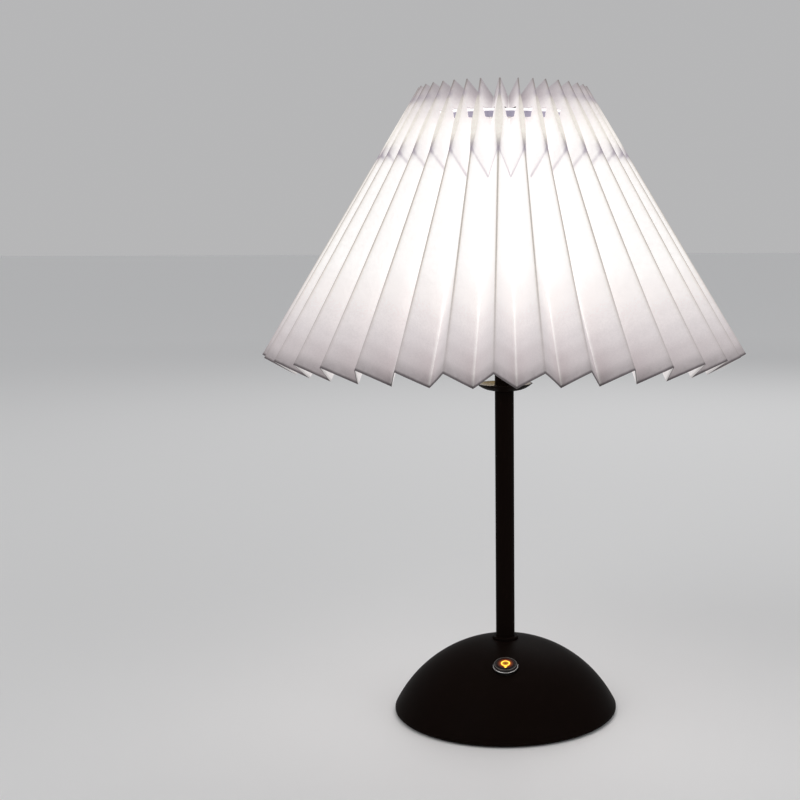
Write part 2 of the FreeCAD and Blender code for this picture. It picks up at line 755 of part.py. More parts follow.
def make_head_nut():
    nut = hex_prism("head_nut_blank", "head_nut_flats", "head_nut_height", HEAD_WASHER_TOP)
    crown = turned("head_nut_crown", [
        ("0", f"{HEAD_WASHER_TOP} + head_nut_height"),
        ("head_nut_flats / 2", f"{HEAD_WASHER_TOP} + head_nut_height"),
        ("head_nut_flat_radius", f"{HEAD_WASHER_TOP} + head_nut_height + head_nut_dome"),
        ("0", f"{HEAD_WASHER_TOP} + head_nut_height + head_nut_dome"),
    ])
    bore = cylinder("head_nut_bore", STEM_HOLE, f"thread_end + stem_gap", z=HEAD_WASHER_TOP)
    return cut("head_nut", fuse("head_nut_solid", [nut, crown]), bore)


def make_stem_lead():
    """The lead rises in the stem and turns out of its side window to the chips' board."""
    level = value(LEAD_LEVEL)
    bend = value("lead_bend")
    start = Vector(0, 0, value(CONTROL_TOP))
    below = Vector(0, 0, level - bend)
    middle = Vector(bend * (1 - math.cos(math.pi / 4)), 0, level - bend * (1 - math.sin(math.pi / 4)))
    above = Vector(bend, 0, level)
    end = Vector(value("lead_end"), 0, level)
    path = Part.Wire([Part.LineSegment(start, below).toShape(),
                      Part.Arc(below, middle, above).toShape(),
                      Part.LineSegment(above, end).toShape()])
    circle = Part.Wire(Part.makeCircle(value("lead_radius"), start, Vector(0, 0, 1)))
    lead = labelled(doc.addObject("Part::Feature", "stem_lead"), "stem_lead")
    lead.Shape = path.makePipeShell([circle], True, False)
    return lead


# ---------------------------------------------------------------- shade

def make_shade_ring():
    outline = []
    for corner in range(WIRE_SIDES):
        turn = f"(({corner} + 0.5) * 360 / {WIRE_SIDES})"
        outline.append((f"{RING_RADIUS} + ring_wire_radius * cos({turn}) / cos(180 / {WIRE_SIDES})",
                        f"{RING_LEVEL} + ring_wire_radius * sin({turn}) / cos(180 / {WIRE_SIDES})"))
    return turned("shade_ring", outline)


def crease_radius(level, bottom, top, bottom_radius, top_radius):
    """The radius of a straight crease at one level."""
    share = (level - value(bottom)) / (value(top) - value(bottom))
    return value(bottom_radius) + share * (value(top_radius) - value(bottom_radius))


def shade_rows():
    """Rows of creases from top to bottom: outer level, inner level and the ridge's width."""
    dent_top = value(f"{SHADE_TOP} - dent_start")
    dent_bottom = value(f"{SHADE_TOP} - dent_end")
    crease_top = value(f"{GROOVE_TOP} - crease_start")
    crease_bottom = value(f"{GROOVE_TOP} - crease_end")
    ridge = value("ridge_width")
    return [
        (value(SHADE_TOP), value(GROOVE_TOP), ridge),
        (dent_top, crease_top, ridge),
        ((dent_top + dent_bottom) / 2, (crease_top + crease_bottom) / 2, value("dent_width")),
        (dent_bottom, crease_bottom, ridge),
        (value(SHADE_BOTTOM), value(GROOVE_BOTTOM), ridge),
    ]


def pleat_rings(outer_level, inner_level, width):
    """The outer and the inner face's closed zigzag on one row of creases."""
    count = int(value("pleat_count"))
    ridge = crease_radius(outer_level, SHADE_BOTTOM, SHADE_TOP,
                          "shade_bottom_radius", "shade_top_radius")
    groove = crease_radius(inner_level, GROOVE_BOTTOM, GROOVE_TOP,
                           "shade_bottom_radius - groove_bottom_depth",
                           "shade_top_radius - groove_top_depth")
    pitch = 2 * math.pi / count
    half_fold = math.atan2(ridge * math.sin(pitch / 2) - width / 2,
                           ridge * math.cos(pitch / 2) - groove)
    offset = value("paper_thickness") / math.sin(half_fold)
    rings = []
    for shift in (0, offset):
        ring = []
        for number in range(count):
            turn = math.radians(value("pleat_turn")) + number * pitch
            for radius, level, side in ((ridge - shift, outer_level, -width / 2),
                                        (ridge - shift, outer_level, width / 2),
                                        (groove - shift, inner_level, None)):
                angle = turn + (pitch / 2 if side is None else side / radius)
                ring.append(Vector(radius * math.sin(angle), -radius * math.cos(angle), level))
        rings.append(ring)
    return rings


def quad(corners):
    """Two flat triangles between four corners, split along the first diagonal."""
    one, two, three, four = corners
    return [Part.Face(Part.makePolygon([one, two, three, one])),
            Part.Face(Part.makePolygon([one, three, four, one]))]


def make_shade_paper():
    rows = [pleat_rings(*row) for row in shade_rows()]
    points = len(rows[0][0])
    faces = []
    for here in range(points):
        there = (here + 1) % points
        for upper, lower in zip(rows, rows[1:]):
            for side in (0, 1):
                faces += quad([upper[side][here], upper[side][there],
                               lower[side][there], lower[side][here]])
        for end in (rows[0], rows[-1]):
            faces += quad([end[0][here], end[0][there], end[1][there], end[1][here]])
    shell = Part.makeShell(faces)
    shell.sewShape()
    solid = Part.makeSolid(shell)
    if solid.Volume < 0:
        solid.reverse()
    pleats = labelled(doc.addObject("Part::Feature", "shade_pleats"), "shade_pleats")
    pleats.Shape = solid
    notch = labelled(doc.addObject("Part::Prism", "shade_notch"), "shade_notch")
    bind(notch, Polygon="pleat_count", Circumradius=NOTCH_RADIUS,
         Height=f"{RING_LEVEL} + ring_wire_radius - head_level + 2 * notch_gap")
    turned_by(notch, Vector(0, 0, 1), "pleat_turn + 180 / pleat_count - 90")
    bind(notch, Placement__Base__z="head_level - notch_gap")
    return cut("shade_paper", pleats, notch)


CASTING = make_base_casting()
NODES = [
    make_standing_pad(), make_base_plate(), make_base_screws(), make_base_dome(), make_ballast(),
    make_battery_tray(), make_battery_cell(), make_control_board(), make_board_standoffs(),
    make_charge_board(), make_charge_socket(),
    make_button_bezel(), make_button_cap(), symbol_solid("button_symbol", "symbol_proud"),
    make_button_gasket(), make_button_nut(), make_button_switch(),
    make_stem_tube(), make_stem_collar(), make_stem_washer(), make_stem_nut(),
    make_dish_shell(), make_dish_liner(), make_dish_retainer(),
    make_head_pan(), make_head_seat(), make_head_diffuser(), make_led_board(), make_led_chips(),
    make_head_washer(), make_head_nut(), make_stem_lead(),
    make_shade_ring(), make_shade_paper(),
]

doc.recompute()
for thing in doc.Objects:
    if "Invalid" in thing.State or "Error" in thing.State:
        raise RuntimeError(f"{thing.Label} did not recompute: {thing.State}")
os.makedirs("parts", exist_ok=True)
for node in NODES:
    shape = node.Shape
    if shape.isNull() or not shape.isValid() or not shape.Solids:
        raise RuntimeError(f"{node.Label} has no sound solid")
    if min(solid.Volume for solid in shape.Solids) <= 0:
        raise RuntimeError(f"{node.Label} holds an inside-out solid")
    shape.exportStep(f"parts/{node.Label}.step")
    print(f"{node.Label}: {len(shape.Solids)} solids, {shape.Volume:.1f} mm3")
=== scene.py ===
import json
import math

import bmesh
import bpy
from bpy.props import FloatProperty, FloatVectorProperty, IntProperty, PointerProperty
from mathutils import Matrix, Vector


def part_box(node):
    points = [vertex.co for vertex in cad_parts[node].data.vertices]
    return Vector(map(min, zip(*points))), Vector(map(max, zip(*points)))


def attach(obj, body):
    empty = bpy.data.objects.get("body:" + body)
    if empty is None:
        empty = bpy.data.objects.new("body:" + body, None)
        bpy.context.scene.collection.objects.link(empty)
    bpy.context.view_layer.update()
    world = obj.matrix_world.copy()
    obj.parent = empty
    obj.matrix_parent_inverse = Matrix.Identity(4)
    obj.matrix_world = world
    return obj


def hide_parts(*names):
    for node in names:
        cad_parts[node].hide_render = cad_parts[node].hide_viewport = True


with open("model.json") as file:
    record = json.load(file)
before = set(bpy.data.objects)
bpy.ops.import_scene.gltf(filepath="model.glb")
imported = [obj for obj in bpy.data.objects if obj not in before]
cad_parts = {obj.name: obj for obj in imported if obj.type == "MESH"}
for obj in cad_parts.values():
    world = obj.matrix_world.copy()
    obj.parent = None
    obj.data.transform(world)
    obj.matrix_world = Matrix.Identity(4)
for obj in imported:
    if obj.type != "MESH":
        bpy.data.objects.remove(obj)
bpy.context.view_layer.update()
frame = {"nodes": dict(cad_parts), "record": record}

bl_info = {
    "name": "Pleated Paper Lamp",
    "version": (1, 0, 0),
    "blender": (4, 5, 0),
    "location": "View3D > Sidebar > Pleated Lamp",
    "description": "Dresses the pleated paper table lamp: folded shade, finishes, trim and stage",
    "category": "Object",
}

SHADE_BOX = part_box("shade_paper")
RING_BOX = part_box("shade_ring")
MM = 0.001

# Crease lines across a pleat, from the top to the rim: how far down the outer and how far down the
# inner crease each one lies. The pinched neck lies between the second and the third.
FOLD_LINES = ((0.0, 0.0), (0.0511, 0.0297), (0.2587, 0.2958), (1.0, 1.0))
ROWS_BETWEEN_FOLDS = (3, 14, 16)
NECK_ZONE = 1
COLUMNS = (0.0, 0.14, 0.34, 0.56, 0.78, 1.0)
BOW_POWER = 0.8
WELD = 0.02 * MM
NOTCH_SIDES = 180

# Hand folding: how quickly the front pleats spread and how far round that reaches, then waves
# round the shade with their phase, drift down the shade and strength.
FRONT_STEP = math.radians(7)
FRONT_FADE = math.radians(26)
WAVES = ((7, 0.6, 0.0, 1.0), (17, 2.0, 2.0, 0.6), (29, 5.0, -3.0, 0.4))
TOP_WAVER = 0.4

# Light coming through the paper, from the rim (0) to the top (1).
PAPER_GLOW = (
    (0.0, (0.045, 0.028, 0.026)), (0.075, (0.165, 0.142, 0.140)),
    (0.125, (0.255, 0.235, 0.232)), (0.19, (0.35, 0.33, 0.32)), (0.27, (0.45, 0.435, 0.415)),
    (0.38, (0.52, 0.52, 0.50)), (0.72, (0.525, 0.525, 0.505)), (0.84, (0.52, 0.51, 0.49)),
    (0.91, (0.40, 0.385, 0.375)), (0.965, (0.17, 0.155, 0.16)), (1.0, (0.06, 0.05, 0.055)),
)
INNER_GLOW = (0.52, 0.51, 0.50)

# Tones from an outer crease (0) to the inner one beside it (1): painted shade along the outer
# creases and the pinched ridges of the neck, and painted glow in the inner creases.
RIDGE_SHADE_TONES = ((0.0, (0.52, 0.49, 0.45)), (0.025, (0.82, 0.80, 0.77)),
               (0.07, (0.97, 0.965, 0.955)), (0.16, (1, 1, 1)))
NECK_SHADE_TONES = ((0.0, (0.88, 0.865, 0.815)), (0.03, (0.93, 0.92, 0.895)),
              (0.09, (0.99, 0.985, 0.97)), (0.20, (1, 1, 1)))
GROOVE_GLOW = ((0.0, (0, 0, 0)), (0.90, (0, 0, 0)), (1.0, (0.11, 0.125, 0.115)))

# The button's seat on the dome's ball surface, and the leaning axis that it is square to.
BUTTON_LEAN = math.radians(16.0)
BUTTON_AXIS = Vector((0, -math.sin(BUTTON_LEAN), math.cos(BUTTON_LEAN)))
DOME_TOP = 39.0 * MM
BALL_POLAR = math.radians(26.0)
BALL_RADIUS = 66.83 * MM
BALL_CENTRE = Vector((0, 0, DOME_TOP - BALL_RADIUS))
BUTTON_SEAT = BALL_CENTRE + BALL_RADIUS * Vector((0, -math.sin(BALL_POLAR), math.cos(BALL_POLAR)))
GLOW_REACH = 4.6 * MM

# Painted highlights round the bezel as thin wire lines: rise over the seat, radius, and the wire's
# radius.
TOP_LINE = (1.69 * MM, 5.67 * MM, 0.12 * MM)
FOOT_LINE = (0.42 * MM, 6.32 * MM, 0.20 * MM)
RING_TURNS = 72
WIRE_SIDES = 8

# The stage: each light has its place, the spot it is aimed at, its width and its watts.
LIGHTS = {
    "key": ((-1.1, -1.0, 1.5), (0, 0, 0.18), 1.3, 8.0),
    "fill": ((1.3, -0.9, 0.9), (0, 0, 0.18), 1.2, 4.0),
    "back": ((0.3, 1.4, 1.2), (0, 0, 0.2), 1.0, 5.0),
}
WORLD_LIGHT = (0.97, 0.98, 1.0, 1)
WORLD_STRENGTH = 0.46
WORLD_SEEN = (0.47, 0.47, 0.475, 1)
FLOOR_HALF = 40.0
FLOOR_FADE = 3.0
FAR_FLOOR = (0.97, 0.965, 0.96)
SENSOR_WIDTH = 36.0


# ---------------------------------------------------------------- sizes and colours

def length(name, text, default):
    """A size in metres."""
    return FloatProperty(name=name, description=text, default=default, unit="LENGTH",
                         subtype="DISTANCE", precision=5)


def colour(name, text, default):
    """A colour without its alpha."""
    return FloatVectorProperty(name=name, description=text, default=default, size=3,
                               subtype="COLOR", min=0.0, max=1.0)


class ShadeSizes(bpy.types.PropertyGroup):
    """The folded paper shade."""
    pleats: IntProperty(name="Pleats", description="Outer creases round the shade", default=36)
    turn: FloatProperty(name="Turn", description="Angle of the front crease from the front",
                        default=math.radians(-2.2), unit="ROTATION", subtype="ANGLE")
    rim_radius: length("Rim radius", "Outer creases at the lower rim", SHADE_BOX[1][0])
    top_radius: length("Top radius", "Outer creases at the top", 0.0433)
    rim_groove: length("Rim groove radius", "Inner creases at the lower rim", 0.1115)
    top_groove: length("Top groove radius", "Inner creases at the top", 0.03045)
    rim_rise: length("Rim rise", "How far the outer creases end above the inner ones", 0.0078)
    paper: length("Paper", "Thickness of the sheet", 0.00034)
    dent_width: length("Dent width", "Widest part of the pinched ridge at the neck", 0.0026)
    dent_depth: length("Dent depth", "How far the pinched ridge sinks", 0.0011)
    neck_bow: length("Neck bow", "How far a panel swells at the neck", 0.0007)
    ridge_width: length("Ridge width", "Blunt edge of an outer crease", 0.0005)
    front_spread: FloatProperty(name="Front spread", default=math.radians(3.2), unit="ROTATION",
                                description="How far the front pleats stand apart at the top",
                                subtype="ANGLE")
    waver: length("Waver", "How unevenly the pleats are folded", 0.0005)
    notch_depth: length("Notch depth", "How far a notch cuts past the wire ring", 0.0040)
    notch_gap: length("Notch gap", "Room between a notch and what it holds", 0.0003)


class Finishes(bpy.types.PropertyGroup):
    """Colours of the lamp's finishes."""
    paper: colour("Paper", "Shade paper", (0.66, 0.625, 0.635))
    coat: colour("Coat", "Black powder coat", (0.0045, 0.0026, 0.002))
    brass: colour("Brass", "Lining of the dish", (0.15, 0.115, 0.05))
    amber: colour("Amber", "Lit sign on the button", (1.0, 0.52, 0.05))
    floor: colour("Floor", "Plain pale floor", (0.78, 0.775, 0.77))


class StageSizes(bpy.types.PropertyGroup):
    """Camera and lights."""
    distance: length("Camera distance", "From the stem, towards the front", 0.683)
    height: length("Camera height", "Above the floor", 0.2481)
    pitch: FloatProperty(name="Pitch", description="How far the camera looks down",
                         default=math.radians(6.73), unit="ROTATION", subtype="ANGLE")
    roll: FloatProperty(name="Roll", description="How far the camera leans", unit="ROTATION",
                        default=math.radians(0.25), subtype="ANGLE")
    focal: FloatProperty(name="Focal length", description="In millimetres on a 36 mm sensor",
                         default=58.72)
    shift: FloatProperty(name="Sideways shift", description="As a share of the picture's width",
                         default=-0.1296)


GROUPS = (("lamp_shade", ShadeSizes), ("lamp_finish", Finishes), ("lamp_stage", StageSizes))


def sizes(name):
    """The scene's own copy of one of the groups."""
    return getattr(bpy.context.scene, name)


# ---------------------------------------------------------------- small tools

def new_object(name, mesh):
    """An object at the origin, in the scene."""
    thing = bpy.data.objects.new(name, mesh)
    bpy.context.scene.collection.objects.link(thing)
    return thing


def plain_mesh(thing, name):
    """Replace an object and its modifiers by the plain mesh they make."""
    graph = bpy.context.evaluated_depsgraph_get()
    mesh = bpy.data.meshes.new_from_object(thing.evaluated_get(graph))
    thing.modifiers.clear()
    old = thing.data
    thing.data = mesh
    mesh.name = name
    bpy.data.meshes.remove(old)


def blend_value(low, high, share):
    """The value at a share of the way from low to high."""
    return low + (high - low) * share


class Nodes:
    """Short hand for building a material's or a tree's nodes."""

    def __init__(self, tree):
        self.tree = tree

    def add(self, kind, **settings):
        """Add a node and set its properties."""
        node = self.tree.nodes.new(kind)
        for name, setting in settings.items():
            setattr(node, name, setting)
        return node

    def put(self, node, **inputs):
        """Set or link inputs by name; an underscore stands for a space."""
        for name, source in inputs.items():
            socket = node.inputs[name.replace("_", " ")]
            if isinstance(source, bpy.types.NodeSocket):
                self.tree.links.new(source, socket)
            else:
                socket.default_value = source
        return node

    def feed(self, sockets, sources):
        """Link or set inputs in their order."""
        for socket, source in zip(sockets, sources):
            if isinstance(source, bpy.types.NodeSocket):
                self.tree.links.new(source, socket)
            else:
                socket.default_value = source

    def maths(self, operation, first, second=0.0, clamp=False):
        """One sum on numbers."""
        node = self.add("ShaderNodeMath", operation=operation, use_clamp=clamp)
        self.feed(node.inputs, (first, second))
        return node.outputs[0]

    def vectors(self, operation, *sources):
        """One sum on vectors; its outputs are Vector and Value."""
        node = self.add("ShaderNodeVectorMath", operation=operation)
        self.feed(node.inputs, sources)
        return node.outputs

    def object_place(self):
        """A point's place in the object, which is also its place in the lamp."""
        return self.add("ShaderNodeTexCoord").outputs["Object"]

    def parts(self, vector):
        """A vector's X, Y and Z."""
        return self.put(self.add("ShaderNodeSeparateXYZ"), Vector=vector).outputs

    def ramp(self, factor, stops):
        """Colours that ease from stop to stop."""
        node = self.add("ShaderNodeValToRGB")
        node.color_ramp.interpolation = "EASE"
        while len(node.color_ramp.elements) < len(stops):
            node.color_ramp.elements.new(0.5)
        for element, (place, shade) in zip(node.color_ramp.elements, stops):
            element.position = place
            element.color = (*shade, 1.0)
        self.tree.links.new(factor, node.inputs[0])
        return node.outputs[0]

    def mix(self, factor, first, second, blend="MIX"):
        """Mix two colours."""
        node = self.add("ShaderNodeMix", data_type="RGBA", blend_type=blend)
        for index, source in ((0, factor), (6, first), (7, second)):
            if isinstance(source, bpy.types.NodeSocket):
                self.tree.links.new(source, node.inputs[index])
            elif index == 0:
                node.inputs[0].default_value = source
            else:
                node.inputs[index].default_value = (*source, 1.0)
        return node.outputs[2]

    def noise(self, scale, detail=4.0, roughness=0.5, stretch=(1, 1, 1)):
        """Noise with its scale in grains for each metre."""
        mapping = self.put(self.add("ShaderNodeMapping"), Vector=self.object_place(),
                           Scale=stretch)
        node = self.add("ShaderNodeTexNoise")
        self.put(node, Vector=mapping.outputs[0], Scale=scale, Detail=detail, Roughness=roughness)
        return node.outputs[0]

    def bump(self, height, strength, distance):
        """A normal from a height."""
        node = self.add("ShaderNodeBump")
        self.put(node, Height=height, Strength=strength, Distance=distance)
        return node.outputs[0]

    def scaled(self, source, low, high):
        """Bring a value from 0..1 to low..high."""
        node = self.add("ShaderNodeMapRange")
        self.put(node, Value=source, To_Min=low, To_Max=high)
        return node.outputs[0]


def blank_material(name):
    """A material with one plain shader."""
    material = bpy.data.materials.new(name)
    material.use_nodes = True
    material.node_tree.nodes.clear()
    nodes = Nodes(material.node_tree)
    shader = nodes.add("ShaderNodeBsdfPrincipled")
    output = nodes.add("ShaderNodeOutputMaterial")
    material.node_tree.links.new(shader.outputs[0], output.inputs[0])
    return material, nodes, shader


def mottled(name, tint, roughness, metallic=0.0, grain=900.0, depth=0.02 * MM, spread=0.12,
            coat=0.0):
    """A finish whose colour, gloss and surface all vary a little at one grain."""
    material, nodes, shader = blank_material(name)
    grain_noise = nodes.noise(grain)
    patch_noise = nodes.noise(grain / 30, detail=2.0)
    darker = tuple(channel * (1 - spread) for channel in tint)
    lighter = tuple(min(1.0, channel * (1 + spread)) for channel in tint)
    nodes.put(shader, Base_Color=nodes.mix(patch_noise, darker, lighter),
              Roughness=nodes.scaled(grain_noise, roughness * 0.85, roughness * 1.15),
              Normal=nodes.bump(grain_noise, 0.35, depth), Metallic=metallic, Coat_Weight=coat)
    return material


# ---------------------------------------------------------------- shade

def crease_spots(share_outer, share_inner, shade):
    """Radius and height of the outer and the inner crease at two shares of their lengths."""
    top = SHADE_BOX[1][2]
    rim = SHADE_BOX[0][2] + shade.rim_rise
    outer = (blend_value(shade.top_radius, shade.rim_radius, share_outer),
             blend_value(top, rim, share_outer))
    inner = (blend_value(shade.top_groove, shade.rim_groove, share_inner),
             blend_value(top - shade.rim_rise, rim - shade.rim_rise, share_inner))
    return outer, inner


def fold_rows():
    """Shares of the outer and inner crease for each row, and how far into the neck it is."""
    for zone, rows in enumerate(ROWS_BETWEEN_FOLDS):
        start = FOLD_LINES[zone]
        end = FOLD_LINES[zone + 1]
        for row in range(rows):
            share = row / rows
            neck = math.sin(math.pi * share) if zone == NECK_ZONE else 0.0
            yield blend_value(start[0], end[0], share), blend_value(start[1], end[1], share), neck
    yield 1.0, 1.0, 0.0


def pleat_row(share_outer, share_inner, neck, shade):
    """Points across one pleat at one row, from groove to groove, with their place across it."""
    (ridge, ridge_level), (groove, groove_level) = crease_spots(share_outer, share_inner, shade)
    half_pitch = math.pi / shade.pleats
    half_ridge = blend_value(shade.ridge_width, shade.dent_width, neck) / 2
    edge = Vector((half_ridge, -ridge, ridge_level))
    valley = Vector((groove * math.sin(half_pitch), -groove * math.cos(half_pitch), groove_level))
    panel = valley - edge
    swell = Vector((-panel.y, panel.x, 0)).normalized()
    if swell.x < 0:
        swell.negate()
    side = []
    for across in COLUMNS:
        bow = shade.neck_bow * neck * math.sin(math.pi * across) ** BOW_POWER
        side.append((edge + panel * across + swell * bow, across))
    sunk = Vector((0, -ridge + shade.dent_depth * neck, ridge_level))
    left = [(Vector((-spot.x, spot.y, spot.z)), -across) for spot, across in reversed(side)]
    return left + [(sunk, 0.0)] + side


def one_pleat(shade):
    """The sheet of one pleat at the front, with a map of where each point lies on it."""
    sheet = bmesh.new()
    fold_map = sheet.loops.layers.uv.new("fold_map")
    rows = []
    for share_outer, share_inner, neck in fold_rows():
        points = pleat_row(share_outer, share_inner, neck, shade)
        rows.append([(sheet.verts.new(spot), 0.5 + across / 2, 1 - share_outer)
                     for spot, across in points])
    for upper, lower in zip(rows, rows[1:]):
        for column in range(len(upper) - 1):
            corners = (upper[column], lower[column], lower[column + 1], upper[column + 1])
            face = sheet.faces.new([corner[0] for corner in corners])
            for loop, corner in zip(face.loops, corners):
                loop[fold_map].uv = corner[1:]
    mesh = bpy.data.meshes.new("one_pleat")
    sheet.to_mesh(mesh)
    sheet.free()
    return mesh


def pleat_ring_tree():
    """A tree that sets copies of a pleat round the stem's axis and joins them."""
    tree = bpy.data.node_groups.new("pleat_ring", "GeometryNodeTree")
    face = tree.interface
    face.new_socket("Geometry", in_out="INPUT", socket_type="NodeSocketGeometry")
    for label, kind in (("Pleats", "NodeSocketInt"), ("Turn", "NodeSocketFloat"),
                        ("Weld", "NodeSocketFloat"), ("Paper", "NodeSocketMaterial")):
        face.new_socket(label, in_out="INPUT", socket_type=kind)
    face.new_socket("Geometry", in_out="OUTPUT", socket_type="NodeSocketGeometry")
    nodes = Nodes(tree)
    given = nodes.add("NodeGroupInput").outputs
    line = nodes.put(nodes.add("GeometryNodeMeshLine"), Count=given["Pleats"])
    line.inputs["Offset"].default_value = (0, 0, 0)
    index = nodes.add("GeometryNodeInputIndex").outputs[0]
    pitch = nodes.maths("DIVIDE", 2 * math.pi, given["Pleats"])
    angle = nodes.maths("ADD", nodes.maths("MULTIPLY", index, pitch), given["Turn"])
    turn = nodes.put(nodes.add("ShaderNodeCombineXYZ"), Z=angle)
    copies = nodes.put(nodes.add("GeometryNodeInstanceOnPoints"), Points=line.outputs[0],
                       Instance=given["Geometry"], Rotation=turn.outputs[0])
    real = nodes.put(nodes.add("GeometryNodeRealizeInstances"), Geometry=copies.outputs[0])
    welded = nodes.put(nodes.add("GeometryNodeMergeByDistance"), Geometry=real.outputs[0],
                       Distance=given["Weld"])
    dressed = nodes.put(nodes.add("GeometryNodeSetMaterial"), Geometry=welded.outputs[0],
                        Material=given["Paper"])
    output = nodes.add("NodeGroupOutput")
    tree.links.new(dressed.outputs[0], output.inputs[0])
    return tree


def run_tree(thing, tree, **inputs):
    """Put a tree on an object and set its inputs by their sockets' identifiers."""
    modifier = thing.modifiers.new(tree.name, "NODES")
    modifier.node_group = tree
    sockets = {item.name: item.identifier for item in tree.interface.items_tree
               if item.item_type == "SOCKET" and item.in_out == "INPUT"}
    for name, setting in inputs.items():
        modifier[sockets[name]] = setting


def hand_folding(spot, shade):
    """Spread the front pleats at the top and let every fold wander a little."""
    radius = math.hypot(spot.x, spot.y)
    around = math.atan2(spot.x, -spot.y) - shade.turn
    around = (around + math.pi) % (2 * math.pi) - math.pi
    top = SHADE_BOX[1][2]
    down = min(1.0, max(0.0, (top - spot.z) / (top - SHADE_BOX[0][2])))
    spread = shade.front_spread * (1 - down) ** 2 * math.tanh(around / FRONT_STEP)
    spread *= math.exp(-abs(around) / FRONT_FADE) * math.cos(around / 2)
    wander = shade.waver * sum(strength * math.sin(around * count + phase + drift * down)
                               for count, phase, drift, strength in WAVES)
    wander *= TOP_WAVER + (1 - TOP_WAVER) * down
    angle = around + shade.turn + spread + wander / radius
    return Vector((radius * math.sin(angle), -radius * math.cos(angle), spot.z))


def near(nodes, position, place, width):
    """One at a place along a map's axis, fading to nothing at a width from it."""
    away = nodes.maths("ABSOLUTE", nodes.maths("SUBTRACT", position, place))
    return nodes.maths("SUBTRACT", 1.0, nodes.maths("DIVIDE", away, width), clamp=True)


def fold_place(nodes):
    """Where a point lies on its pleat: across it, up it, and how far off its outer crease."""
    fold = nodes.parts(nodes.add("ShaderNodeUVMap", uv_map="fold_map").outputs[0])
    across = fold["X"]
    off_ridge = nodes.maths("MULTIPLY", nodes.maths(
        "ABSOLUTE", nodes.maths("SUBTRACT", across, 0.5)), 2.0)
    return across, fold["Y"], off_ridge


def ridge_shade_tones(nodes, up, off_ridge):
    """Painted shade: a darker line along each outer crease, fainter in the neck and towards the
    rim.
    """
    neck_middle, neck_reach, neck_strength = 0.85, 0.11, 1.8
    rim_reach, rim_strength = 0.40, 0.75
    line = nodes.ramp(off_ridge, RIDGE_SHADE_TONES)
    neck_line = nodes.ramp(off_ridge, NECK_SHADE_TONES)
    in_neck = nodes.maths("MULTIPLY", near(nodes, up, neck_middle, neck_reach), neck_strength,
                          clamp=True)
    line = nodes.mix(in_neck, line, neck_line)
    near_rim = nodes.maths("MULTIPLY", near(nodes, up, 0.0, rim_reach), rim_strength)
    return nodes.mix(near_rim, line, (1, 1, 1))


def neck_shadow(nodes, across, up, off_ridge):
    """The shade in the zigzag crease under the neck, just over it, and in the pinched ridges."""
    neck_foot = 1 - FOLD_LINES[2][0]
    neck_head = 1 - FOLD_LINES[1][0]
    zigzag = nodes.maths("MULTIPLY", near(nodes, up, neck_foot, 0.010),
                         nodes.scaled(off_ridge, 0.42, 0.62))
    above = nodes.maths("MULTIPLY", near(nodes, up, neck_foot + 0.02, 0.04), 0.10)
    pinch = nodes.maths("MULTIPLY", near(nodes, across, 0.5, 0.09),
                        nodes.maths("ADD", near(nodes, up, neck_foot + 0.004, 0.035),
                                    near(nodes, up, neck_head, 0.020)))
    return nodes.maths("ADD", nodes.maths("ADD", zigzag, above),
                       nodes.maths("MULTIPLY", pinch, 0.9), clamp=True)


def rim_shade(nodes, up):
    """Painted shade along the cut edge at the rim, in patches that reach a little way up."""
    edge_reach, soft_shade_reach = 0.009, 0.045
    rim_patches = nodes.noise(260.0, detail=5.0, roughness=0.7)
    soft_shade = nodes.maths("MULTIPLY", near(nodes, up, 0.0, soft_shade_reach),
                         nodes.scaled(rim_patches, 0.05, 0.75))
    return nodes.maths("ADD", soft_shade, near(nodes, up, 0.0, edge_reach), clamp=True)


def inner_side(nodes):
    """One where the sheet faces the stem, nothing where it faces out."""
    place = nodes.parts(nodes.object_place())
    outward = nodes.put(nodes.add("ShaderNodeCombineXYZ"), X=place["X"], Y=place["Y"])
    normal = nodes.add("ShaderNodeNewGeometry").outputs["Normal"]
    facing = nodes.vectors("DOT_PRODUCT", normal, outward.outputs[0])["Value"]
    return nodes.maths("LESS_THAN", facing, 0.0)


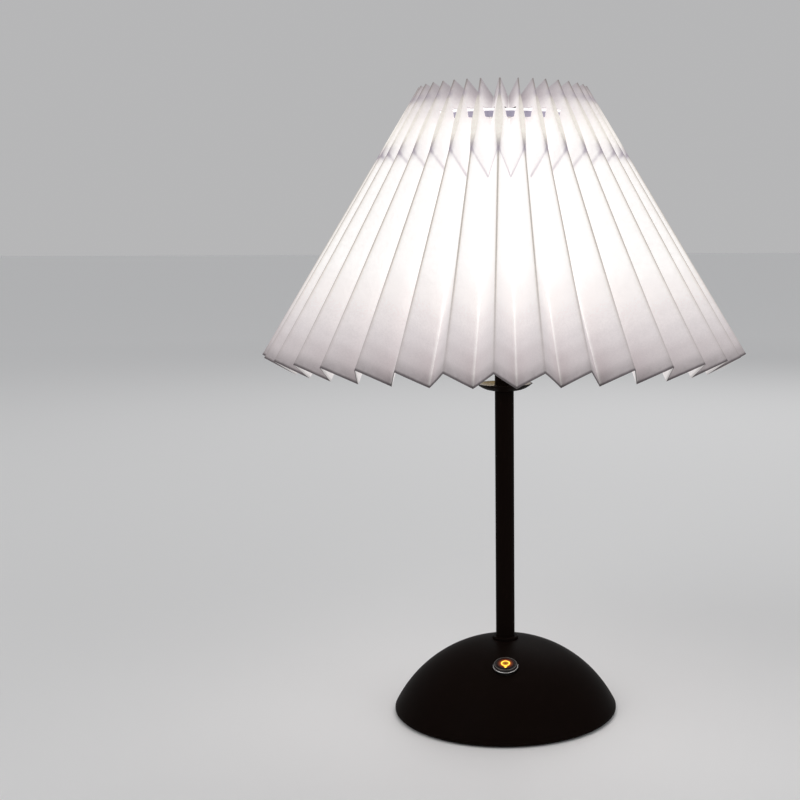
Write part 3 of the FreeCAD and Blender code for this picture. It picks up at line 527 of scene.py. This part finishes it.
def paper_material(finish):
    """Pleated shade paper: fine fibres, painted shade in its creases and at its rim, and the
    lamp's light coming through.
    """
    material, nodes, shader = blank_material("shade_paper")
    across, up, off_ridge = fold_place(nodes)
    cloudy = nodes.noise(26.0, detail=3.0)
    fibres = nodes.noise(1500.0, detail=6.0, roughness=0.65)
    flecks = nodes.noise(420.0, detail=2.0, stretch=(1, 1, 0.25))
    mottle = nodes.scaled(nodes.noise(650.0, detail=4.0, roughness=0.75), 0.68, 1.26)
    ridge_shade = ridge_shade_tones(nodes, up, off_ridge)
    shadow = neck_shadow(nodes, across, up, off_ridge)
    rim_shade_mask = rim_shade(nodes, up)

    level = nodes.maths("ADD", up, nodes.scaled(cloudy, -0.03, 0.03), clamp=True)
    # painted shade along the outer creases darkens the glow
    glow = nodes.mix(1.0, nodes.ramp(level, PAPER_GLOW), ridge_shade, blend="MULTIPLY")
    glow = nodes.mix(1.0, glow, nodes.ramp(off_ridge, GROOVE_GLOW), blend="ADD")
    glow = nodes.mix(1.0, glow, mottle, blend="MULTIPLY")
    glow = nodes.mix(shadow, glow, (0.11, 0.095, 0.125))
    # painted shade at the rim: the light through the paper fades to black at its cut edge
    glow = nodes.mix(rim_shade_mask, glow, (0, 0, 0))
    glow = nodes.mix(nodes.maths("MULTIPLY", inner_side(nodes), 0.75), glow, INNER_GLOW)

    tint = nodes.mix(fibres, tuple(channel * 1.10 for channel in finish.paper),
                     tuple(channel * 0.84 for channel in finish.paper))
    tint = nodes.mix(nodes.scaled(flecks, 0.0, 0.25), tint,
                     tuple(channel * 0.94 for channel in finish.paper))
    # painted shade along the outer creases darkens the paper too
    tint = nodes.mix(1.0, tint, ridge_shade, blend="MULTIPLY")
    # painted shade: the paper darker towards the top
    tint = nodes.mix(nodes.maths("MULTIPLY", near(nodes, up, 1.0, 0.08), 0.30), tint,
                     (0.34, 0.31, 0.33))
    tint = nodes.mix(nodes.maths("MULTIPLY", shadow, 0.55), tint, (0.32, 0.29, 0.33))
    # painted shade at the rim's cut edge
    tint = nodes.mix(nodes.maths("MULTIPLY", rim_shade_mask, 0.9), tint, (0.12, 0.10, 0.105))
    nodes.put(shader, Base_Color=tint, Roughness=0.82, Emission_Color=glow,
              Emission_Strength=1.0, Normal=nodes.bump(fibres, 0.25, 0.04 * MM))
    return material


def cut_notches(thing, shade):
    """Cut the window that holds the wire ring and the pan's edge out of each inner crease."""
    cut_radius = RING_BOX[1][0] + shade.notch_depth
    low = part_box("head_pan")[0][2] - shade.notch_gap
    high = RING_BOX[1][2] + shade.notch_gap
    tool_mesh = bmesh.new()
    bmesh.ops.create_cone(tool_mesh, cap_ends=True, segments=NOTCH_SIDES, depth=high - low,
                          radius1=cut_radius, radius2=cut_radius)
    bmesh.ops.translate(tool_mesh, verts=tool_mesh.verts, vec=(0, 0, (low + high) / 2))
    mesh = bpy.data.meshes.new("notch_tool")
    tool_mesh.to_mesh(mesh)
    tool_mesh.free()
    tool = new_object("notch_tool", mesh)
    modifier = thing.modifiers.new("notches", "BOOLEAN")
    modifier.operation = "DIFFERENCE"
    modifier.solver = "EXACT"
    modifier.object = tool
    plain_mesh(thing, "shade_pleated")
    bpy.data.objects.remove(tool)
    bpy.data.meshes.remove(mesh)


def make_shade():
    """Fold the pleats, thicken the sheet, cut the notches and put it in the solid's place."""
    shade = sizes("lamp_shade")
    paper = paper_material(sizes("lamp_finish"))
    thing = new_object("shade_pleated", one_pleat(shade))
    run_tree(thing, pleat_ring_tree(), Pleats=shade.pleats, Turn=shade.turn, Weld=WELD,
             Paper=paper)
    plain_mesh(thing, "shade_pleated")
    for vertex in thing.data.vertices:
        vertex.co = hand_folding(vertex.co, shade)
    wall = thing.modifiers.new("wall", "SOLIDIFY")
    wall.thickness = shade.paper
    wall.offset = -1.0
    wall.use_even_offset = True
    wall.use_quality_normals = True
    wall.thickness_clamp = 0.0
    plain_mesh(thing, "shade_pleated")
    cut_notches(thing, shade)
    thing.data.materials.clear()
    thing.data.materials.append(paper)
    for face in thing.data.polygons:
        face.material_index = 0
        face.use_smooth = False
    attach(thing, "shade")
    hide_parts("shade_paper")


# ---------------------------------------------------------------- painted highlights on the button

def wire_ring(name, centre, axis, radius, wire, material, body):
    """A thin ring of wire round an axis."""
    ring = bmesh.new()
    along = Vector(axis).normalized()
    first = along.orthogonal().normalized()
    second = along.cross(first)
    loops = []
    for turn in range(RING_TURNS):
        angle = 2 * math.pi * turn / RING_TURNS
        out = first * math.cos(angle) + second * math.sin(angle)
        loop = []
        for side in range(WIRE_SIDES):
            round_wire = 2 * math.pi * side / WIRE_SIDES
            spot = Vector(centre) + out * (radius + wire * math.cos(round_wire))
            loop.append(ring.verts.new(spot + along * wire * math.sin(round_wire)))
        loops.append(loop)
    for number, loop in enumerate(loops):
        following = loops[(number + 1) % RING_TURNS]
        for side in range(WIRE_SIDES):
            other = (side + 1) % WIRE_SIDES
            ring.faces.new((loop[side], following[side], following[other], loop[other]))
    bmesh.ops.recalc_face_normals(ring, faces=ring.faces)
    mesh = bpy.data.meshes.new(name)
    ring.to_mesh(mesh)
    ring.free()
    mesh.materials.append(material)
    for face in mesh.polygons:
        face.use_smooth = True
    thing = new_object(name, mesh)
    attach(thing, body)


def make_bezel_highlights():
    """Painted highlights: a dim line round the bezel's top and a bright one round its foot."""
    dim = mottled("highlight_dim", (0.20, 0.18, 0.17), 0.30, metallic=1.0, grain=2500.0,
                  depth=0.005 * MM, spread=0.05)
    bright = mottled("highlight_bright", (0.86, 0.84, 0.82), 0.20, metallic=1.0, grain=2500.0,
                     depth=0.005 * MM, spread=0.05)
    for name, (rise, radius, wire), material in (("bezel_top_highlight", TOP_LINE, dim),
                                                 ("bezel_foot_highlight", FOOT_LINE, bright)):
        wire_ring(name, BUTTON_SEAT + BUTTON_AXIS * rise, BUTTON_AXIS, radius, wire, material,
                  "lamp")


# ---------------------------------------------------------------- finishes of the solid parts

def lit_material(name, tint, strength):
    """A lit plastic with a faint cloudiness."""
    material, nodes, shader = blank_material(name)
    cloudy = nodes.noise(300.0, detail=2.0)
    shade = nodes.mix(nodes.scaled(cloudy, 0.0, 0.3), tint, tuple(c * 0.85 for c in tint))
    nodes.put(shader, Base_Color=shade, Emission_Color=shade, Emission_Strength=strength,
              Roughness=0.4)
    return material


def radius_from_stem(nodes):
    """How far a point lies from the stem's axis."""
    place = nodes.parts(nodes.object_place())
    square = nodes.maths("ADD", nodes.maths("POWER", place["X"], 2.0),
                         nodes.maths("POWER", place["Y"], 2.0))
    return nodes.maths("SQRT", square)


def opal_material(tint):
    """The head's opal cover: bright over the chips, dim towards its edge."""
    material, nodes, shader = blank_material("opal_lens")
    share = nodes.maths("DIVIDE", radius_from_stem(nodes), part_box("head_diffuser")[1][0])
    glow = nodes.ramp(share, ((0.0, (0.8, 0.77, 0.72)), (0.45, tint), (0.72, (0.55, 0.53, 0.50)),
                              (0.85, (0.10, 0.095, 0.09)), (1.0, (0.03, 0.03, 0.03))))
    grain = nodes.noise(900.0)
    nodes.put(shader, Base_Color=(0.80, 0.79, 0.77, 1), Emission_Color=glow,
              Emission_Strength=2.2, Roughness=nodes.scaled(grain, 0.42, 0.52))
    return material


def coat_material(tint):
    """Satin black powder coat: a fine orange peel and dust-soft patches of gloss."""
    material, nodes, shader = blank_material("black_coat")
    peel = nodes.noise(2600.0, detail=3.0)
    patches = nodes.noise(35.0, detail=3.0)
    warmer = tuple(channel * 1.35 for channel in tint)
    nodes.put(shader, Base_Color=nodes.mix(patches, tint, warmer),
              Roughness=nodes.scaled(patches, 0.42, 0.52),
              Normal=nodes.bump(peel, 0.30, 0.03 * MM), Specular_IOR_Level=0.012)
    return material


def glowing_cap(amber):
    """The button's dark face, with the lit sign's warm glow round it and inside its ring."""
    material, nodes, shader = blank_material("button_black")
    from_seat = nodes.vectors("SUBTRACT", nodes.object_place(), BUTTON_SEAT)["Vector"]
    aside = nodes.vectors("CROSS_PRODUCT", from_seat, BUTTON_AXIS)["Vector"]
    share = nodes.maths("DIVIDE", nodes.vectors("LENGTH", aside)["Value"], GLOW_REACH)
    glow = nodes.ramp(share, ((0.0, (0.12, 0.035, 0.004)), (0.24, (0.55, 0.22, 0.02)),
                              (0.42, tuple(channel * 0.9 for channel in amber)),
                              (0.58, (0.42, 0.09, 0.01)), (0.74, (0.09, 0.015, 0.004)),
                              (1.0, (0, 0, 0))))
    grain = nodes.noise(1500.0)
    nodes.put(shader, Base_Color=(0.008, 0.006, 0.006, 1), Emission_Color=glow,
              Emission_Strength=0.9, Coat_Weight=0.08,
              Roughness=nodes.scaled(grain, 0.26, 0.36),
              Normal=nodes.bump(grain, 0.35, 0.008 * MM), Specular_IOR_Level=0.10)
    return material


def turned_brass(tint):
    """Brass turned on a lathe: rings of fine scratches round the stem."""
    material, nodes, shader = blank_material("dish_brass")
    rings = nodes.add("ShaderNodeTexNoise", noise_dimensions="1D")
    nodes.put(rings, W=radius_from_stem(nodes), Scale=5200.0, Detail=3.0)
    nodes.put(shader, Base_Color=nodes.mix(rings.outputs[0], tint,
                                           tuple(channel * 0.72 for channel in tint)),
              Roughness=nodes.scaled(rings.outputs[0], 0.18, 0.32), Metallic=1.0,
              Normal=nodes.bump(rings.outputs[0], 0.2, 0.01 * MM))
    return material


def finish_table():
    """One material for each of the record's slots, shared by the nodes that carry it."""
    finish = sizes("lamp_finish")
    return {
        "black_coat": coat_material(tuple(finish.coat)),
        "dish_brass": turned_brass(tuple(finish.brass)),
        "amber_lens": lit_material("amber_lens", tuple(finish.amber), 1.6),
        "opal_lens": opal_material((1.0, 0.96, 0.90)),
        "chip_yellow": lit_material("chip_yellow", (0.95, 0.78, 0.30), 0.6),
        "black_rubber": mottled("black_rubber", (0.02, 0.02, 0.02), 0.75, grain=1200.0),
        "zinc_steel": mottled("zinc_steel", (0.55, 0.55, 0.57), 0.35, metallic=1.0, grain=700.0),
        "cast_ballast": mottled("cast_ballast", (0.09, 0.09, 0.095), 0.6, metallic=0.6,
                                grain=500.0, depth=0.1 * MM, spread=0.25),
        "black_plastic": mottled("black_plastic", (0.03, 0.03, 0.033), 0.5, grain=1600.0),
        "cell_wrap": mottled("cell_wrap", (0.05, 0.16, 0.36), 0.3, coat=0.3, spread=0.06),
        "board_green": mottled("board_green", (0.02, 0.14, 0.05), 0.35, coat=0.4, grain=600.0),
        "board_white": mottled("board_white", (0.80, 0.80, 0.78), 0.4, coat=0.3, grain=600.0,
                               spread=0.04),
        "white_plastic": mottled("white_plastic", (0.72, 0.72, 0.70), 0.45, spread=0.04),
        "nickel_steel": mottled("nickel_steel", (0.022, 0.019, 0.018), 0.34, metallic=0.9,
                                grain=1800.0, depth=0.01 * MM, spread=0.10),
        "button_black": glowing_cap(finish.amber),
        "lead_sheath": mottled("lead_sheath", (0.04, 0.04, 0.04), 0.6),
        # painted shade: the head's white is set darker and lilac, as it looks in shade and bluish
        # light
        "head_white": mottled("head_white", (0.42, 0.40, 0.52), 0.45, grain=1400.0, spread=0.05),
        # painted light: the wire ring is given a glow of its own, though it is no lamp
        "ring_white": lit_material("ring_white", (0.95, 0.94, 0.93), 0.50),
    }


def dress_solid_parts():
    """Put each solid's finish on it; the paper solid has none, because the shade replaces it."""
    finishes = finish_table()
    slots = {entry["node"]: entry["material_slot"] for entry in frame["record"]["subparts"]}
    for node, thing in frame["nodes"].items():
        if slots[node] in finishes:
            thing.data.materials.clear()
            thing.data.materials.append(finishes[slots[node]])


# ---------------------------------------------------------------- stage

def soft_light(name, place, aim, size, power):
    """A square light aimed at a spot."""
    data = bpy.data.lights.new(name, "AREA")
    data.shape = "SQUARE"
    data.size = size
    data.energy = power
    light = bpy.data.objects.new(name, data)
    bpy.context.scene.collection.objects.link(light)
    light.location = place
    light.rotation_euler = (Vector(aim) - Vector(place)).to_track_quat("-Z", "Y").to_euler()


def pale_world():
    """A soft even world, which the camera sees as pale grey."""
    world = bpy.data.worlds.new("studio")
    bpy.context.scene.world = world
    world.use_nodes = True
    world.node_tree.nodes.clear()
    nodes = Nodes(world.node_tree)
    seen = nodes.add("ShaderNodeLightPath").outputs["Is Camera Ray"]
    soft = nodes.put(nodes.add("ShaderNodeBackground"), Color=WORLD_LIGHT,
                     Strength=WORLD_STRENGTH)
    pale = nodes.put(nodes.add("ShaderNodeBackground"), Color=WORLD_SEEN, Strength=1.0)
    both = nodes.add("ShaderNodeMixShader")
    nodes.feed(both.inputs, (seen, soft.outputs[0], pale.outputs[0]))
    output = nodes.add("ShaderNodeOutputWorld")
    world.node_tree.links.new(both.outputs[0], output.inputs[0])


def floor_material(tint):
    """A plain pale floor that brightens with distance, so that it meets the world softly."""
    material, nodes, shader = blank_material("floor")
    away = nodes.vectors("LENGTH", nodes.object_place())["Value"]
    far = nodes.maths("DIVIDE", away, FLOOR_FADE, clamp=True)
    grain = nodes.noise(60.0)
    nodes.put(shader, Base_Color=nodes.mix(far, tint, FAR_FLOOR),
              Roughness=nodes.scaled(grain, 0.55, 0.65),
              Normal=nodes.bump(grain, 0.3, 0.05 * MM))
    return material


def make_floor():
    """A plain square floor round the lamp."""
    half = FLOOR_HALF
    mesh = bpy.data.meshes.new("floor")
    mesh.from_pydata([(-half, -half, 0), (half, -half, 0), (half, half, 0), (-half, half, 0)],
                     [], [(0, 1, 2, 3)])
    floor = new_object("floor", mesh)
    mesh.materials.append(floor_material(tuple(sizes("lamp_finish").floor)))


def make_camera():
    """The camera where the photograph was taken from."""
    stage = sizes("lamp_stage")
    data = bpy.data.cameras.new("camera")
    data.sensor_width = SENSOR_WIDTH
    data.lens = stage.focal
    data.shift_x = stage.shift
    data.dof.use_dof = False
    camera = bpy.data.objects.new("camera", data)
    bpy.context.scene.collection.objects.link(camera)
    camera.location = (0, -stage.distance, stage.height)
    camera.rotation_euler = (math.pi / 2 - stage.pitch, stage.roll, 0)
    bpy.context.scene.camera = camera


def make_stage():
    """Floor, world, lights and camera."""
    make_floor()
    pale_world()
    for name, (place, aim, size, power) in LIGHTS.items():
        soft_light(name, place, aim, size, power)
    make_camera()
    bpy.context.scene.view_settings.view_transform = "Standard"


# ---------------------------------------------------------------- operators and panel

class LAMP_OT_stage(bpy.types.Operator):
    """Set the floor, the soft lights and the camera"""
    bl_idname = "lamp.stage"
    bl_label = "Stage"

    def execute(self, context):
        make_stage()
        return {"FINISHED"}


class LAMP_OT_shade(bpy.types.Operator):
    """Fold the paper shade and cut its notches"""
    bl_idname = "lamp.shade"
    bl_label = "Pleated shade"

    def execute(self, context):
        make_shade()
        return {"FINISHED"}


class LAMP_OT_bezel_highlights(bpy.types.Operator):
    """Lay the two thin lines of painted highlight round the button's bezel"""
    bl_idname = "lamp.button_trim"
    bl_label = "Button trim"

    def execute(self, context):
        make_bezel_highlights()
        return {"FINISHED"}


class LAMP_OT_finishes(bpy.types.Operator):
    """Give every solid part its finish"""
    bl_idname = "lamp.finishes"
    bl_label = "Finishes"

    def execute(self, context):
        dress_solid_parts()
        return {"FINISHED"}


OPERATORS = (LAMP_OT_stage, LAMP_OT_finishes, LAMP_OT_shade, LAMP_OT_bezel_highlights)


class LAMP_PT_panel(bpy.types.Panel):
    """Lists the lamp's pieces and their sizes"""
    bl_label = "Pleated Lamp"
    bl_idname = "LAMP_PT_panel"
    bl_space_type = "VIEW_3D"
    bl_region_type = "UI"
    bl_category = "Pleated Lamp"

    def draw(self, context):
        for operator in OPERATORS:
            self.layout.operator(operator.bl_idname)
        for name, group in GROUPS:
            column = self.layout.column()
            for prop in group.__annotations__:
                column.prop(getattr(context.scene, name), prop)


CLASSES = tuple(group for _, group in GROUPS) + OPERATORS + (LAMP_PT_panel,)


def register():
    """Make the operators, the panel and the scene's groups known."""
    for kind in CLASSES:
        bpy.utils.register_class(kind)
    for name, group in GROUPS:
        setattr(bpy.types.Scene, name, PointerProperty(type=group))


def unregister():
    """Take them away again."""
    for name, _ in GROUPS:
        delattr(bpy.types.Scene, name)
    for kind in reversed(CLASSES):
        bpy.utils.unregister_class(kind)


def main():
    """Build the scene through its operators."""
    register()
    bpy.ops.lamp.stage()
    bpy.ops.lamp.finishes()
    bpy.ops.lamp.shade()
    bpy.ops.lamp.button_trim()


if __name__ == "__main__":
    main()
